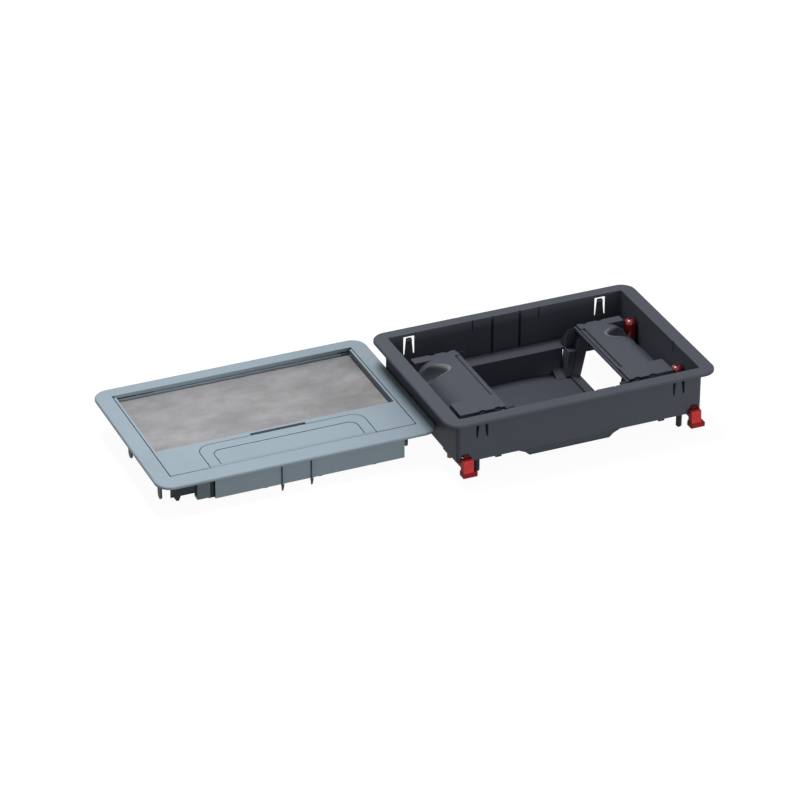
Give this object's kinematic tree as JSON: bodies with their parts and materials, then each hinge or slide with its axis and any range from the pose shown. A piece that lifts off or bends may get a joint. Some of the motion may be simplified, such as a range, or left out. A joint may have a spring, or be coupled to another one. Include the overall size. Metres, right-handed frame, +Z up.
{
  "type": "floor socket box",
  "caption": "Rectangular floor socket box for a raised floor: flanged box with leaning socket frames, red corner clamps and a hinged cover set laid beside it.",
  "frame": {"origin": "middle of the floor cut-out at finished floor level, which is the underside of the box flange", "axes": "+X along the long side to the right, +Y to the rear, +Z up out of the floor"},
  "size_m": [0.54, 0.2416, 0.068],
  "materials": {
    "box_plastic": "fine satin moulded, anthracite",
    "cover_plastic": "fine satin moulded, blue-grey",
    "clamp_plastic": "semi-gloss moulded, red",
    "plate_steel": "galvanised, mottled",
    "pin_steel": "bright"
  },
  "bodies": {
    "box": {"box_body": "box_plastic", "plug_tray": "box_plastic", "socket_frame_left": "box_plastic", "socket_frame_right": "box_plastic"},
    "wiring_cover_left": {"wiring_cover_left": "box_plastic"},
    "wiring_cover_right": {"wiring_cover_right": "box_plastic"},
    "cover_frame": {"cover_frame": "cover_plastic", "lid_hinge_pin_left": "pin_steel", "lid_hinge_pin_right": "pin_steel"},
    "lid": {"lid": "cover_plastic", "lid_reinforcement_plate": "plate_steel", "flap_hinge_pin_left": "pin_steel", "flap_hinge_pin_right": "pin_steel"},
    "handle_flap": {"handle_flap": "cover_plastic"},
    "clamp_screw_front_left": {"clamp_screw_front_left": "clamp_plastic"},
    "clamp_jaw_front_left": {"clamp_jaw_front_left": "clamp_plastic"},
    "clamp_screw_front_right": {"clamp_screw_front_right": "clamp_plastic"},
    "clamp_jaw_front_right": {"clamp_jaw_front_right": "clamp_plastic"},
    "clamp_screw_rear_left": {"clamp_screw_rear_left": "clamp_plastic"},
    "clamp_jaw_rear_left": {"clamp_jaw_rear_left": "clamp_plastic"},
    "clamp_screw_rear_right": {"clamp_screw_rear_right": "clamp_plastic"},
    "clamp_jaw_rear_right": {"clamp_jaw_rear_right": "clamp_plastic"}
  },
  "joints": [
    {"name": "wiring_cover_left_lift", "type": "slide", "parent": "box", "child": "wiring_cover_left", "axis": [0, 0, 1], "range_m": [0, 0.06]},
    {"name": "wiring_cover_right_lift", "type": "slide", "parent": "box", "child": "wiring_cover_right", "axis": [0, 0, 1], "range_m": [0, 0.06]},
    {"name": "cover_lift", "type": "slide", "parent": "box", "child": "cover_frame", "axis": [-0.7071, 0, 0.7071], "range_m": [0, 0.15]},
    {"name": "lid_hinge", "type": "hinge", "parent": "cover_frame", "child": "lid", "pos_m": [-0.264, 0.1246, -0.0315], "axis": [-1, 0, 0], "range_deg": [0, 95]},
    {"name": "flap_hinge", "type": "hinge", "parent": "lid", "child": "handle_flap", "pos_m": [-0.264, -0.0259, -0.0295], "axis": [1, 0, 0], "range_deg": [0, 90]},
    {"name": "clamp_jaw_front_left_climb", "type": "slide", "parent": "box", "child": "clamp_jaw_front_left", "axis": [0, 0, 1], "range_m": [0, 0.006]},
    {"name": "clamp_screw_front_left_turn", "type": "hinge", "parent": "box", "child": "clamp_screw_front_left", "pos_m": [-0.117, -0.05, -0.03], "axis": [0, 0, 1], "range_deg": [-1440, 0]},
    {"name": "clamp_jaw_front_right_climb", "type": "slide", "parent": "box", "child": "clamp_jaw_front_right", "axis": [0, 0, 1], "range_m": [0, 0.006]},
    {"name": "clamp_screw_front_right_turn", "type": "hinge", "parent": "box", "child": "clamp_screw_front_right", "pos_m": [0.117, -0.05, -0.03], "axis": [0, 0, 1], "range_deg": [-1440, 0]},
    {"name": "clamp_jaw_rear_left_climb", "type": "slide", "parent": "box", "child": "clamp_jaw_rear_left", "axis": [0, 0, 1], "range_m": [0, 0.006]},
    {"name": "clamp_screw_rear_left_turn", "type": "hinge", "parent": "box", "child": "clamp_screw_rear_left", "pos_m": [-0.117, 0.05, -0.03], "axis": [0, 0, 1], "range_deg": [-1440, 0]},
    {"name": "clamp_jaw_rear_right_climb", "type": "slide", "parent": "box", "child": "clamp_jaw_rear_right", "axis": [0, 0, 1], "range_m": [0, 0.006]},
    {"name": "clamp_screw_rear_right_turn", "type": "hinge", "parent": "box", "child": "clamp_screw_rear_right", "pos_m": [0.117, 0.05, -0.03], "axis": [0, 0, 1], "range_deg": [-1440, 0]}
  ],
  "couplings": [
    {"joint": "clamp_screw_front_left_turn", "follows": "clamp_jaw_front_left_climb", "rad_per_m": -4188.8},
    {"joint": "clamp_screw_front_right_turn", "follows": "clamp_jaw_front_right_climb", "rad_per_m": -4188.8},
    {"joint": "clamp_screw_rear_left_turn", "follows": "clamp_jaw_rear_left_climb", "rad_per_m": -4188.8},
    {"joint": "clamp_screw_rear_right_turn", "follows": "clamp_jaw_rear_right_climb", "rad_per_m": -4188.8}
  ]
}
